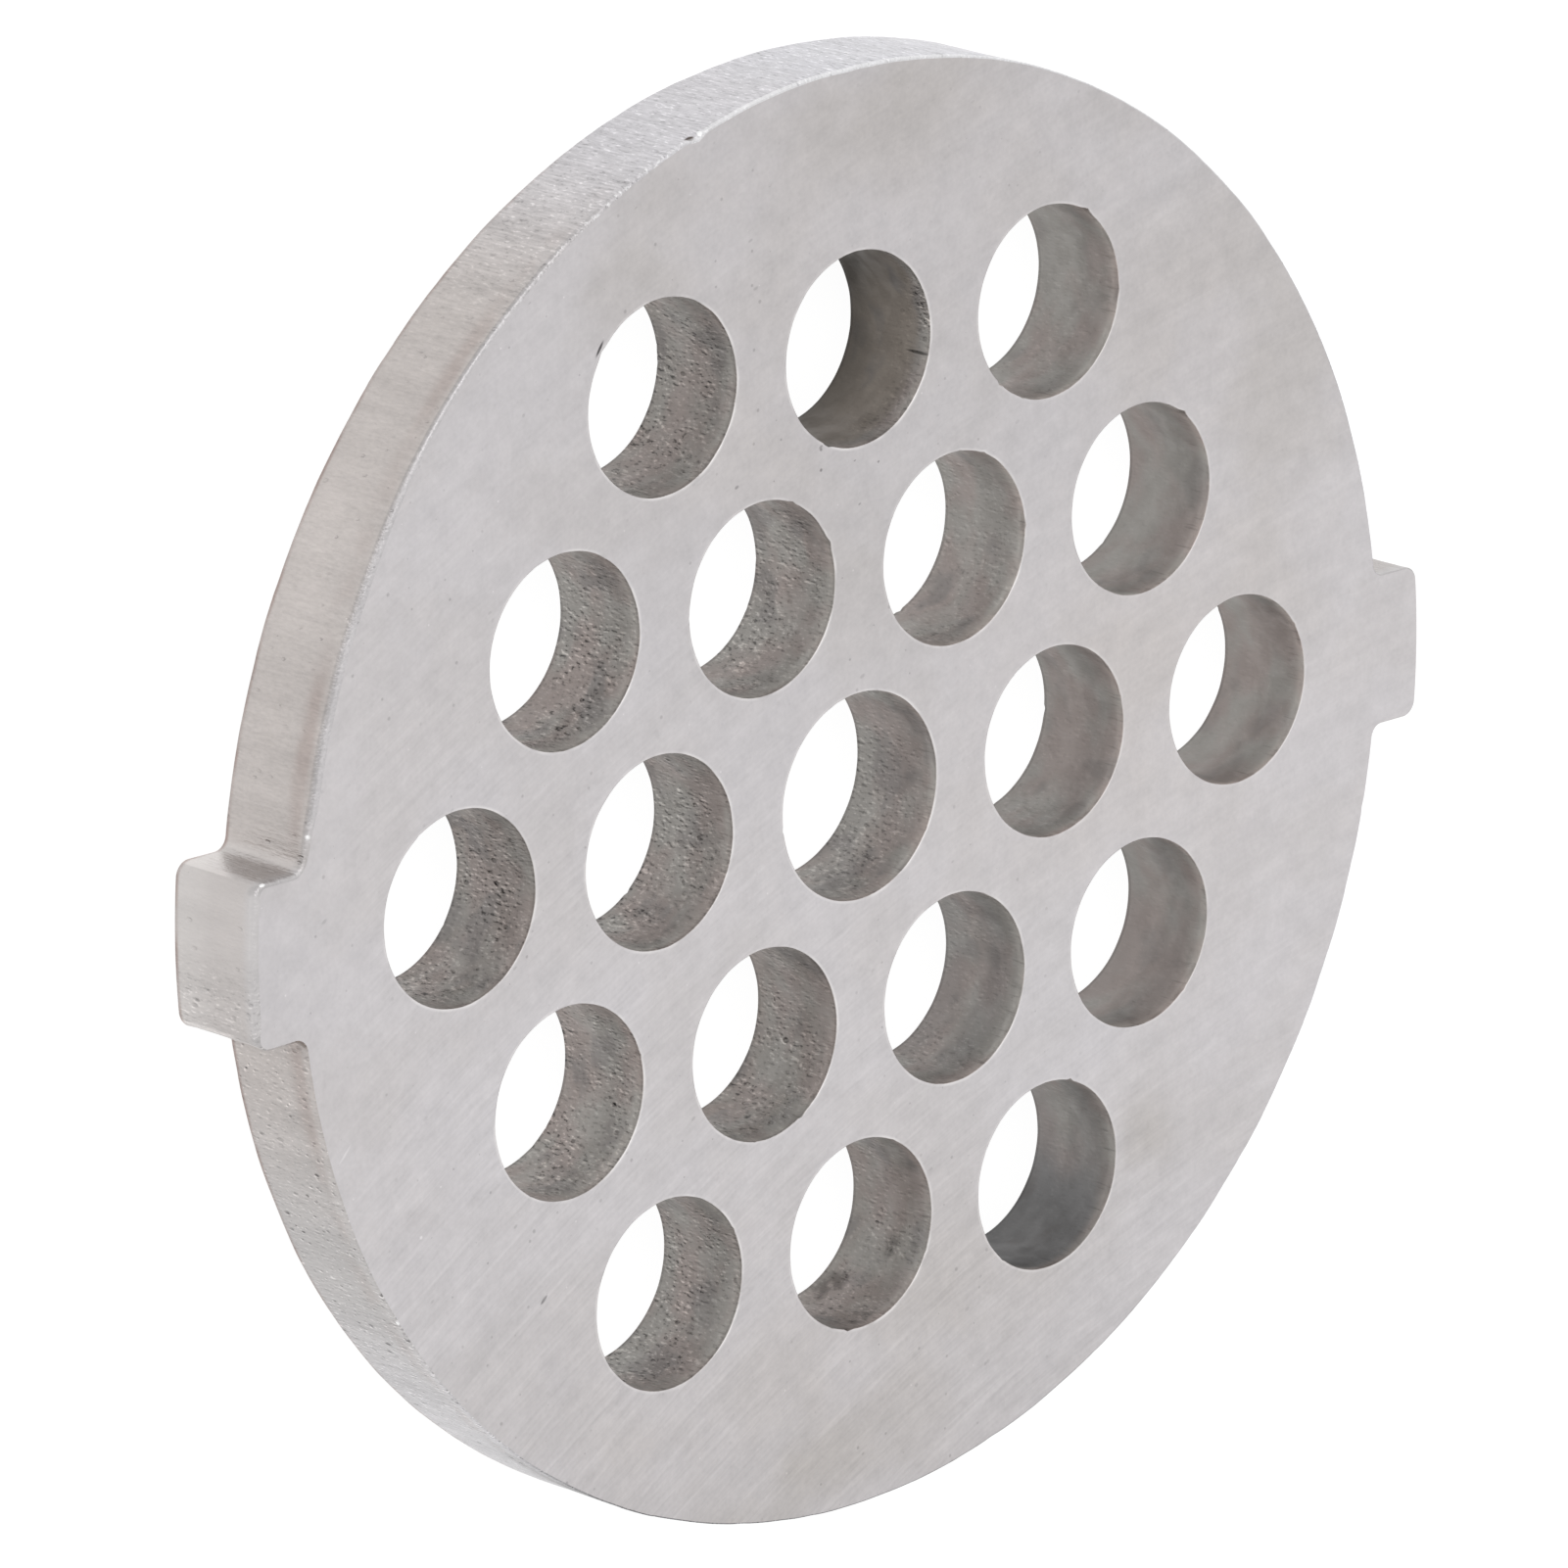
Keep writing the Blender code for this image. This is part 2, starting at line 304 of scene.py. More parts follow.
def rim_surface(middles):
    """The plate's surface round the outside, as (points round, points down, 3).

    A point is the outline's point less its outward normal times a depth into the metal, which is the
    edge's rounding plus the relief and the nick. The outline is swung a little round the axis beside the
    -X lug's lower side. The front edge's rounding goes smoothly from its usual radius to the crisp and
    the soft one. Each end of the profile is an outermost web point, then a point on a ring straight out
    from it, then one on a wider ring straight in from the outline's point.
    """
    middles = middles[np.argsort(np.arctan2(middles[:, 1], middles[:, 0]))]
    turn = np.arctan2(middles[:, 1], middles[:, 0])
    line, outward = outline_at(turn)
    swing = (line[:, 0] < 0) * hump(line[:, 1] + 3 * MM, 1.1 * MM) * LUG_SPREAD / PLATE_RADIUS
    line, outward = swung(line, swing), swung(outward, swing)
    angle = np.arctan2(line[:, 1], line[:, 0])
    aside = np.abs(line[:, 1])
    dubbed = rise(line @ (-1, -0.35), 17 * MM, 1.5 * MM)
    below = rise(-line[:, 1], 2.8 * MM, 0.15 * MM)
    far_side = rise(line @ (0.99, -0.14), 2 * MM, 1.5 * MM)
    crisp = 1 - (1 - below) * (1 - far_side)
    on_lug = rise(-aside, -4.6 * MM, 0.2 * MM)
    at_side = hump(aside - LUG_WIDTH / 2 - 0.2 * MM, 0.5 * MM)
    front = RIM_EDGE + (CRISP_EDGE - RIM_EDGE) * crisp
    front += (SOFT_EDGE - RIM_EDGE) * dubbed * (1 - below) * (1 - 0.5 * on_lug - 0.4 * at_side)

    into, down = edge_profile(front[:, None], FRONT_EDGE_STEPS)
    into_back, down_back = edge_profile(np.full_like(front, RIM_EDGE)[:, None], BACK_EDGE_STEPS)
    into_back, down_back = into_back[:, ::-1], down_back[:, ::-1]
    share = np.linspace(0, 1, RIM_WALL_STEPS + 1)[1:-1]
    wall = front[:, None] + (PLATE_THICKNESS - RIM_EDGE - front)[:, None] * share
    flat = np.zeros((len(line), 3))
    full = flat + PLATE_THICKNESS
    depth = np.concatenate([flat, flat[:, :1], down, wall, full[:, :1] - down_back, full[:, :1], full], 1)
    inside, inside_back = into[:, :1] + EDGE_SUPPORT, into_back[:, -1:] + EDGE_SUPPORT
    inset = np.concatenate([flat, inside, into, 0 * wall, into_back, inside_back, flat], 1)
    height = PLATE_THICKNESS - depth

    base = np.empty((*depth.shape, 3))
    base[..., :2] = line[:, None]
    base[..., 2] = height
    from_edge = np.minimum(depth, height)
    relief = 0.016 * MM * (1 + np.tanh(waves(base, 4 * MM, 11)))
    relief += 0.005 * MM * (1 + np.tanh(waves(base, 1.1 * MM, 12)))
    crumbs = np.maximum(waves(base, 0.7 * MM, 13) - 1.2, 0)
    relief += 0.012 * MM * crumbs * hump(from_edge, 0.3 * MM)
    along_nick = (np.mod(angle - RIM_NICK_ANGLE + np.pi, 2 * np.pi) - np.pi) * PLATE_RADIUS
    relief += RIM_NICK_DEPTH * hump(along_nick, 0.3 * MM)[:, None] * hump(depth, 0.2 * MM)
    relief *= 1 - on_lug[:, None] * hump(from_edge, 0.4 * MM)
    inset = inset + relief

    surface = np.empty_like(base)
    surface[..., :2] = line[:, None] - outward[:, None] * inset[..., None]
    surface[..., 2] = height
    for web, inner, outer, last in ((0, 1, 2, 3), (-1, -2, -3, -4)):
        beside = surface[:, last, :2]
        surface[:, web, :2] = middles
        surface[:, inner, :2] = INNER_RING * turned(turn)
        surface[:, outer, :2] = OUTER_RING * beside / np.linalg.norm(beside, axis=1, keepdims=True)
    return surface


def grid_quads(around, down, first):
    """Corner numbers of the quads of a grid that closes on itself in its first direction."""
    start = first + np.arange(around)[:, None] * down + np.arange(down - 1)
    other = first + np.roll(np.arange(around), -1)[:, None] * down + np.arange(down - 1)
    return np.stack([start, start + 1, other + 1, other], axis=-1).reshape(-1, 4)


def weld_key(points):
    """Whole numbers that are the same for points nearer than the weld, as (points, axes)."""
    return np.round(points.reshape(-1, points.shape[-1]) / WELD + WELD_SHIFT).astype(np.int64)


def band_finish(around, down, face_bands, wall_finish):
    """The finish of each quad of a profile's grid: ground steel at both ends of the profile."""
    band = np.tile(np.arange(down - 1), around)
    return np.where((band < face_bands) | (band >= down - 1 - face_bands), GROUND, wall_finish)


def plate_piece(finishes):
    """The whole plate: the surfaces round its holes and its outside, welded along the webs.

    The outermost web points are those of one hole only, and those corners of the webs that two share.
    """
    centres = lattice(HOLE_RINGS)
    radii = np.where(np.linalg.norm(centres, axis=1) < HOLE_PITCH / 2, CENTRE_HOLE_DIAMETER, HOLE_DIAMETER) / 2
    corners = web_corners(centres, lattice(HOLE_RINGS + 1))
    middles = web_middles(corners)
    holes, hole_tone, hole_highlight = hole_surfaces(centres, radii, middles)

    key = weld_key(middles)
    _, first, count = np.unique(key, axis=0, return_index=True, return_counts=True)
    at_corner = (key[first][:, None] == weld_key(corners)[None]).all(2).any(1)
    rim = rim_surface(middles.reshape(-1, 2)[first[(count == 1) | (at_corner & (count == 2))]])

    around, down = holes.shape[1:3]
    points = np.concatenate([holes.reshape(-1, 3), rim.reshape(-1, 3)])
    quads = [grid_quads(around, down, hole * around * down)[:, ::-1] for hole in range(len(holes))]
    rim_quads = grid_quads(*rim.shape[:2], len(holes) * around * down)
    faces = np.concatenate([*quads, rim_quads])

    hole_finish = band_finish(around * len(holes), down, HOLE_FACE_BANDS, CAST)
    rim_finish = band_finish(*rim.shape[:2], RIM_FACE_BANDS, DRESSED)

    _, first, number = np.unique(weld_key(points), axis=0, return_index=True, return_inverse=True)
    mesh = bpy.data.meshes.new("grinder_plate_surface")
    mesh.from_pydata(points[first], [], number.reshape(-1)[faces])
    mesh.polygons.foreach_set("material_index", np.concatenate([hole_finish, rim_finish]).astype(np.int32))
    mesh.shade_smooth()
    for finish in finishes:
        mesh.materials.append(finish)
    rim_points = rim.shape[0] * rim.shape[1]
    tone = np.concatenate([hole_tone.reshape(-1), np.ones(rim_points)])
    # the holes' painted edge highlight; the rim has none
    edge_highlight = np.concatenate([hole_highlight.reshape(-1), np.zeros(rim_points)])
    for name, values in (("tone", tone), ("edge_highlight", edge_highlight)):
        mesh.attributes.new(name, "FLOAT", "POINT").data.foreach_set("value", values[first].astype(np.float32))
    mesh.update()
    piece = bpy.data.objects.new("plate", mesh)
    bpy.context.scene.collection.objects.link(piece)
    return piece


# Finishes


def linear(hex_colour):
    """A colour written as sRGB hex, turned linear."""
    parts = [int(hex_colour[i:i + 2], 16) / 255 for i in (1, 3, 5)]
    return tuple(c / 12.92 if c <= 0.04045 else ((c + 0.055) / 1.055) ** 2.4 for c in parts) + (1.0,)


def add(tree, kind, inputs=None, **settings):
    """Adds a node with its settings. inputs gives its sockets a value, or the output that feeds them."""
    node = tree.nodes.new(kind)
    for name, value in settings.items():
        setattr(node, name, value)
    for name, value in (inputs or {}).items():
        if isinstance(value, bpy.types.NodeSocket):
            tree.links.new(value, node.inputs[name])
        else:
            node.inputs[name].default_value = value
    return node


def new_steel(name):
    """A bare steel with its Principled shader, whose colour, roughness and bump the patterns then drive."""
    material = bpy.data.materials.new(name)
    material.use_nodes = True
    surface = material.node_tree.nodes["Principled BSDF"]
    surface.inputs["Metallic"].default_value = 1.0
    return material, material.node_tree, surface


def object_place(tree):
    """The place on the plate, in metres."""
    return add(tree, "ShaderNodeTexCoord").outputs["Object"]


def wheel_place(tree):
    """The place as a way along a circle about the grinding wheel's middle, a distance from it, and Z."""
    ends = {0: object_place(tree), 1: WHEEL_MIDDLE}
    offset = add(tree, "ShaderNodeVectorMath", ends, operation="SUBTRACT").outputs[0]
    x, y, z = add(tree, "ShaderNodeSeparateXYZ", {0: offset}).outputs
    turn = add(tree, "ShaderNodeMath", {0: y, 1: x}, operation="ARCTAN2").outputs[0]
    reach = add(tree, "ShaderNodeVectorMath", {0: offset}, operation="LENGTH").outputs["Value"]
    along = add(tree, "ShaderNodeMath", {0: turn, 1: math.hypot(*WHEEL_MIDDLE)}, operation="MULTIPLY").outputs[0]
    return add(tree, "ShaderNodeCombineXYZ", {0: along, 1: reach, 2: z}).outputs[0]


def millimetres(numbers):
    """Lengths given in millimetres, in metres."""
    return tuple(part * MM for part in numbers)


def blotches(tree, place, size, detail=2.0, shift=(0, 0, 0)):
    """A noise of 0 to 1 with blotches of a size along each of the place's three numbers, moved by a shift.

    Size and shift are in millimetres.
    """
    settings = {"Vector": place, "Location": millimetres(shift), "Scale": millimetres(size)}
    scaled = add(tree, "ShaderNodeMapping", settings, vector_type="TEXTURE")
    noise = add(tree, "ShaderNodeTexNoise", {"Vector": scaled.outputs[0], "Scale": 1.0, "Detail": detail})
    return noise.outputs["Fac"]


def embossed(tree, place, size, shift, detail=2.0):
    """A rough skin lit from one side: a noise less the same noise moved by a shift, so 0 where it is level."""
    raised = blotches(tree, place, size, detail)
    moved = blotches(tree, place, size, detail, shift)
    return add(tree, "ShaderNodeMath", {0: raised, 1: moved}, operation="SUBTRACT").outputs[0]


def pits(tree, place, cell, radius, stretch=(1, 1, 1), shift=(0, 0, 0), flat=False):
    """1 in small pits, else 0: one somewhere in each cell, of a radius from 0 up, all in millimetres.

    The cells, and the pits with them, may be stretched and shifted, and flat ones are for a face.
    """
    settings = {"Vector": place, "Location": millimetres(shift)}
    settings["Scale"] = tuple(cell * MM * part for part in stretch)
    scaled = add(tree, "ShaderNodeMapping", settings, vector_type="TEXTURE").outputs[0]
    dimensions = "2D" if flat else "3D"
    dots = add(tree, "ShaderNodeTexVoronoi", {"Vector": scaled, "Scale": 1.0}, voronoi_dimensions=dimensions)
    chance = add(tree, "ShaderNodeSeparateColor", {"Color": dots.outputs["Color"]})
    reach = times(tree, chance.outputs[0], radius / cell)
    return between(tree, dots.outputs["Distance"], reach, times(tree, reach, 0.4))


def lit_pits(tree, place, cell, radius, stretch, shift):
    """Pits, and the bright crescent that each has on the side of the shift, where it catches the light."""
    dark = pits(tree, place, cell, radius, stretch)
    moved = pits(tree, place, cell, radius, stretch, shift)
    return dark, add(tree, "ShaderNodeMath", {0: moved, 1: dark}, operation="SUBTRACT", use_clamp=True).outputs[0]


def spot(tree, middle, size, turn=0.0, core=0.1):
    """1 in the middle of a spot and 0 outside it, with its middle and its size in millimetres.

    It may be turned about Z by an angle in degrees. Its core is the share of it that is fully 1.
    """
    settings = {"Vector": object_place(tree), "Location": millimetres(middle), "Scale": millimetres(size)}
    settings["Rotation"] = (0, 0, math.radians(turn))
    scaled = add(tree, "ShaderNodeMapping", settings, vector_type="TEXTURE")
    away = add(tree, "ShaderNodeVectorMath", {0: scaled.outputs[0]}, operation="LENGTH").outputs["Value"]
    return between(tree, away, 1.0, core)


def between(tree, value, low, high):
    """0 up to a low value, 1 from a high one, and a smooth step between them."""
    settings = {"Value": value, "From Min": low, "From Max": high}
    return add(tree, "ShaderNodeMapRange", settings, interpolation_type="SMOOTHSTEP").outputs[0]


def times(tree, first, second):
    """Two patterns multiplied."""
    return add(tree, "ShaderNodeMath", {0: first, 1: second}, operation="MULTIPLY").outputs[0]


def summed(tree, start, *parts):
    """A start value or pattern, plus each pattern times its weight."""
    total = start
    for pattern, weight in parts:
        total = add(tree, "ShaderNodeMath", {0: pattern, 1: weight, 2: total}, operation="MULTIPLY_ADD").outputs[0]
    return total


def shaded(tree, colour, shade):
    """A colour made lighter or darker by a factor."""
    return add(tree, "ShaderNodeVectorMath", {0: colour, "Scale": shade}, operation="SCALE").outputs[0]


def mixed(tree, share, first, second):
    """From a first colour to a second as the share goes from 0 to 1."""
    return add(tree, "ShaderNodeMix", {0: share, 6: first, 7: second}, data_type="RGBA").outputs[2]


def bumped(tree, height, depth):
    """Bump from a height of 0 to 1 over a depth in metres."""
    return add(tree, "ShaderNodeBump", {"Height": height, "Distance": depth}).outputs[0]


def mesh_values(tree, name):
    """What the mesh carries under a name."""
    return add(tree, "ShaderNodeAttribute", attribute_name=name).outputs["Fac"]


def less_far_off(tree, x):
    """How bright the painted highlight on a hole's front edge is along X: fully up to 2 mm, and under half from 16 mm
    on.
    """
    return summed(tree, 0.45, (between(tree, x, 16 * MM, 2 * MM), 0.55))


def inverted(tree, pattern):
    """1 less a pattern."""
    return summed(tree, 1.0, (pattern, -1.0))


def larger(tree, first, second):
    """The larger of two patterns."""
    return add(tree, "ShaderNodeMath", {0: first, 1: second}, operation="MAXIMUM").outputs[0]


def ground_face():
    """Steel ground flat on a surface grinder: smooth satin grey with soft arcs, faint stains and a few pits.

    The single scratches of the wheel are too fine to show, so the finest lines are drawn as coarse as
    0.12 mm, and groups of scratches as wider lines and bands.
    """
    material, tree, surface = new_steel("surface_ground_steel")
    place, arcs = object_place(tree), wheel_place(tree)
    x, y = add(tree, "ShaderNodeSeparateXYZ", {0: place}).outputs[:2]
    clouds = between(tree, blotches(tree, place, (6, 5, 5), detail=3.0), 0.36, 0.64)
    mottle = blotches(tree, place, (0.9, 0.9, 0.9), detail=4.0)
    specked = blotches(tree, place, (0.16, 0.16, 0.16))
    patches = blotches(tree, arcs, (4, 1.5, 2))
    bands = blotches(tree, arcs, (16, 0.7, 2))
    long_lines = blotches(tree, arcs, (5, 0.3, 1), detail=1.0)
    fine_lines = blotches(tree, arcs, (1.6, 0.12, 1), detail=1.0)
    hairlines = between(tree, blotches(tree, arcs, (14, 0.13, 1), detail=0.0), 0.72, 0.84)

    lined = between(tree, summed(tree, 0.0, (x, 0.5), (y, 0.8)), 8 * MM, -14 * MM)  # they show best at the lower left
    lined = times(tree, summed(tree, 0.45, (lined, 0.55)), summed(tree, 0.4, (patches, 1.2)))
    lined = times(tree, lined, summed(tree, 0.3, (between(tree, x, -26 * MM, -22 * MM), 0.7)))
    lines = times(tree, lined, summed(tree, -0.19, (long_lines, 0.14), (fine_lines, 0.2), (hairlines, 0.05)))
    scores = between(tree, blotches(tree, arcs, (7, 0.32, 1), detail=0.0, shift=(3, 2, 0)), 0.62, 0.74)
    scores = times(tree, scores, between(tree, summed(tree, 0.0, (x, 0.3), (y, 0.8)), -6 * MM, -16 * MM))

    smudges = between(tree, blotches(tree, place, (0.5, 0.5, 0.5), detail=3.0), 0.6, 0.76)
    pitted = between(tree, blotches(tree, place, (7, 7, 7), detail=1.0), 0.48, 0.6)
    pitted = summed(
        tree,
        0.15,
        (pitted, 0.4),
        (spot(tree, (-1.0, 11.8, 4.1), (5, 4, 1)), 0.6),
        (spot(tree, (-18.0, -12.0, 4.1), (7, 8, 1)), 0.5),
    )
    pitted = times(tree, pitted, between(tree, x, 20 * MM, 0.0))
    small_pits = times(tree, pitted, pits(tree, place, 1.6, 0.1, flat=True))
    ticks = times(tree, pitted, pits(tree, arcs, 2.6, 0.1, stretch=(1.8, 1.0, 1.0), flat=True))
    specks = times(tree, pits(tree, place, 3.4, 0.06, flat=True), between(tree, x, 12 * MM, 2 * MM))
    marks = summed(
        tree,
        0.0,
        (spot(tree, (-15.6, -15.2, 4.1), (0.27, 0.08, 1), turn=41, core=0.5), -0.5),
        (spot(tree, (-24.85, -7.67, 4.1), (0.5, 0.06, 1), turn=47, core=0.5), 0.14),
        (spot(tree, (-21.37, -11.51, 4.1), (0.09, 0.09, 1), core=0.4), 0.25),
        (spot(tree, (-6.0, 12.55, 4.1), (0.14, 0.08, 1), turn=20, core=0.4), -0.35),
        (spot(tree, (-12.5, 18.75, 4.1), (0.4, 0.08, 1), turn=56, core=0.4), -0.8),
    )
    stains = summed(
        tree,
        0.0,
        (spot(tree, (-4.0, -25.5, 4.1), (9, 4, 1)), 0.55),  # brown bloom at the bottom edge
        (spot(tree, (5.0, -20.5, 4.1), (11, 6, 1)), 0.25),
        (spot(tree, (14.3, -16.8, 4.1), (2.6, 3.2, 1)), 0.6),  # beside the last hole of the bottom row
        (spot(tree, (21.0, 12.0, 4.1), (9, 12, 1)), 0.3),  # the rest are wide and faint
        (spot(tree, (1.0, 25.5, 4.1), (10, 4, 1)), 0.3),
        (spot(tree, (-10.5, 21.5, 4.1), (6, 4, 1)), 0.25),
        (spot(tree, (0.0, 11.0, 4.1), (6, 8, 1)), 0.2),
    )
    stains = times(tree, stains, summed(tree, 0.3, (clouds, 0.7)))
    stains = summed(tree, stains, (clouds, 0.18))
    warmth = summed(
        tree,
        0.06,
        (spot(tree, (14.0, 2.0, 4.1), (14, 10, 1)), 0.17),
        (spot(tree, (2.0, 23.0, 4.1), (24, 12, 1)), 0.07),
        (spot(tree, (16.0, 14.0, 4.1), (8, 7, 1)), 0.1),
        (spot(tree, (-4.0, 15.0, 4.1), (9, 6, 1)), 0.08),
        (spot(tree, (-4.0, -22.0, 4.1), (22, 10, 1)), 0.12),
        (spot(tree, (9.5, -10.0, 4.1), (8, 6, 1)), -0.15),
        (spot(tree, (-14.0, -8.0, 4.1), (8, 6, 1)), -0.06),
    )
    warmth = times(tree, warmth, summed(tree, 0.5, (clouds, 0.5), (mottle, 1.0)))
    colour = mixed(tree, warmth, linear("#CCC9CB"), linear("#CDC5C0"))
    colour = mixed(tree, stains, colour, linear("#B9B4B0"))

    # The first six terms are a painted reflection, broad and soft over the face
    shade = summed(
        tree,
        1.0,
        (times(tree, y, y), -105.0),  # painted reflection of an uneven surround: lightest along a line through the middle
        (times(tree, x, x), 42.0),
        (times(tree, x, y), -30.0),
        (spot(tree, (2, -9, 4.1), (36, 14, 1)), 0.035),
        (spot(tree, (2, 12, 4.1), (30, 15, 1)), -0.03),
        (spot(tree, (-30, 0, 4.1), (6, 6, 1), core=0.4), -0.05),
    )
    shade = summed(tree, shade, (patches, 0.08), (bands, 0.05), (mottle, 0.2), (specked, 0.14), (0.5, -0.47))
    shade = summed(tree, shade, (lines, 0.85), (small_pits, -0.4), (ticks, -0.32), (specks, 0.2), (smudges, -0.04))
    far_bands = times(tree, between(tree, x, 2 * MM, 14 * MM), summed(tree, -0.5, (bands, 1.0)))
    shade = summed(tree, shade, (marks, 1.0), (far_bands, 0.05), (scores, 0.05))

    # painted highlight along the holes' front edges, patchy, and fading towards +X
    painted_highlights = times(tree, mesh_values(tree, "edge_highlight"), between(tree, blotches(tree, place, (1.2, 1.2, 1.2)), 0.3, 0.7))
    painted_highlights = times(tree, painted_highlights, less_far_off(tree, x))
    colour = mixed(tree, times(tree, painted_highlights, 0.8), shaded(tree, colour, shade), linear("#F0EDEC"))
    tree.links.new(colour, surface.inputs["Base Color"])
    tree.links.new(summed(tree, 0.34, (fine_lines, 0.1), (patches, 0.08)), surface.inputs["Roughness"])
    height = summed(tree, 0.0, (long_lines, 0.5), (fine_lines, 0.4), (small_pits, -1.0))
    tree.links.new(bumped(tree, height, 0.015 * MM), surface.inputs["Normal"])
    return material


def dressed_rim():
    """Cast steel dressed on a belt across its thickness: axial scratches and flecks over leftover casting skin.

    The belt's scratches are too fine to show, so they are drawn as coarse as 0.09 mm. The rim is dull
    beside and above the -X lug, and bright towards the top and the bottom.
    """
    material, tree, surface = new_steel("dressed_cast_steel")
    place = object_place(tree)
    x, y, z = add(tree, "ShaderNodeSeparateXYZ", {0: place}).outputs
    aside = add(tree, "ShaderNodeMath", {0: y}, operation="ABSOLUTE").outputs[0]
    across = summed(tree, x, (y, -0.16))  # how far from the dull side, at the -X lug
    low = between(tree, y, -13 * MM, -21 * MM)
    grey = between(tree, y, -4 * MM, -13 * MM)
    bright = between(tree, across, -21 * MM, -12.5 * MM)
    bright = times(tree, bright, inverted(tree, low))
    scraped = times(tree, between(tree, across, -22.5 * MM, -17 * MM), summed(tree, 1.0, (low, -0.5)))
    brightest = times(tree, between(tree, x, -5 * MM, -0.5 * MM), between(tree, y, 0.0, 10 * MM))
    dull = inverted(tree, bright)

    on_lug = between(tree, aside, 3.4 * MM, 2.8 * MM)
    flank = times(tree, between(tree, aside, 2.76 * MM, 2.8 * MM), between(tree, aside, 2.98 * MM, 2.94 * MM))
    root = times(tree, between(tree, aside, 2.96 * MM, 3.05 * MM), between(tree, aside, 3.6 * MM, 3.3 * MM))
    flank_end = times(tree, flank, between(tree, summed(tree, x, (z, 0.7)), -26.5 * MM, -27.0 * MM))
    corner = times(tree, between(tree, aside, 2.4 * MM, 2.6 * MM), between(tree, aside, 2.79 * MM, 2.76 * MM))
    skin = between(tree, y, 0.6 * MM, -1.6 * MM)  # casting skin that the belt left
    skin = times(tree, skin, between(tree, x, 4 * MM, -6 * MM))
    calm = summed(tree, 1.0, (times(tree, on_lug, inverted(tree, skin)), -0.6))

    mottle = between(tree, blotches(tree, place, (1.5, 1.5, 1.2)), 0.36, 0.64)
    washes = blotches(tree, place, (0.8, 0.8, 8.0))
    streaks = between(tree, blotches(tree, place, (0.09, 0.09, 1.1), detail=3.0), 0.3, 0.7)
    grain = between(tree, blotches(tree, place, (0.13, 0.13, 0.22), detail=2.0), 0.3, 0.7)
    grit = embossed(tree, place, (0.11, 0.11, 0.3), (0.04, -0.04, -0.03))
    flecks, dark_flecks = between(tree, grit, 0.13, 0.24), between(tree, grit, -0.13, -0.26)
    tall_pits, crescents = lit_pits(tree, place, 0.4, 0.12, (1, 1, 2.0), (0, -0.07, -0.06))
    small_pits, small_crescents = lit_pits(tree, place, 0.22, 0.085, (1, 1, 1.5), (0, -0.05, -0.05))
    pocks = summed(tree, 0.0, (tall_pits, -0.45), (crescents, 0.4), (small_pits, -0.25), (small_crescents, 0.3))
    pocked = between(tree, blotches(tree, place, (2.0, 2.0, 1.2), detail=1.0), 0.38, 0.56)
    pocked = summed(tree, 0.08, (times(tree, skin, summed(tree, 0.4, (pocked, 1.0), (on_lug, -0.95))), 0.92))
    under_lug = times(tree, between(tree, z, 2.5 * MM, 3.2 * MM), between(tree, y, -8.5 * MM, -5.5 * MM))
    pocked = times(tree, pocked, summed(tree, 1.0, (under_lug, -0.55)))
    # painted shade: a warm dark band along the front edge of the dull rim, patchy, and darker in three places
    patchy_shade = summed(
        tree,
        times(tree, 0.3, mottle),
        (spot(tree, (-26.0, 7.2, 3.5), (3, 5.5, 1)), 0.9),
        (spot(tree, (-19.0, 19.0, 3.5), (4, 4, 1)), 0.6),
        (spot(tree, (-26.0, -5.0, 3.5), (3, 5.5, 1.2)), 0.65),
    )
    band = times(tree, between(tree, z, 2.7 * MM, 3.4 * MM), between(tree, z, 4.0 * MM, 3.6 * MM))
    band = times(tree, times(tree, band, patchy_shade), times(tree, dull, inverted(tree, on_lug)))
    brown_line = times(tree, between(tree, z, 0.3 * MM, 0.12 * MM), dull)

    colour = mixed(tree, grey, linear("#BEB8B5"), linear("#BCB9B8"))
    colour = mixed(tree, bright, colour, linear("#CCCACD"))
    colour = mixed(tree, low, colour, linear("#C9C7C9"))
    colour = mixed(tree, brightest, colour, linear("#D1D0D4"))
    lug_colour = mixed(tree, between(tree, z, 0.4 * MM, 2.4 * MM), linear("#C7C3C1"), linear("#BFBAB8"))
    lug_colour = mixed(tree, between(tree, z, 3.4 * MM, 4.0 * MM), lug_colour, linear("#C2BFBF"))
    colour = mixed(tree, on_lug, colour, lug_colour)
    dubbed = times(tree, dull, between(tree, y, 2 * MM, 5 * MM))
    colour = mixed(tree, times(tree, dubbed, between(tree, z, 3.85 * MM, 4.08 * MM)), colour, linear("#C8C5C6"))
    # the painted band of shade
    colour = mixed(tree, band, colour, linear("#B2A8A4"))
    colour = mixed(tree, times(tree, brown_line, summed(tree, 0.4, (mottle, 0.6))), colour, linear("#A0918C"))
    crease = spot(tree, (-26.9, -3.2, 4.05), (0.8, 0.5, 0.8))
    colour = mixed(tree, times(tree, crease, summed(tree, 0.5, (grain, 0.6))), colour, linear("#807268"))
    nick = spot(tree, (-8.05, 25.5, 3.96), (0.28, 0.28, 0.14), core=0.5)
    colour = mixed(tree, nick, colour, linear("#5C524E"))

    texture = summed(tree, -0.08, (streaks, 0.06), (grain, 0.07), (grit, 0.2), (times(tree, pocked, pocks), 1.0))
    texture = summed(tree, texture, (times(tree, scraped, streaks), 0.15), (scraped, -0.075))
    flecked = summed(tree, scraped, (skin, 0.85), (brightest, 0.6))
    texture = summed(tree, texture, (times(tree, flecked, flecks), 0.28), (times(tree, flecked, dark_flecks), -0.22))
    shade = summed(tree, 1.0, (mottle, 0.04), (washes, 0.25), (0.5, -0.29), (times(tree, calm, texture), 1.0))
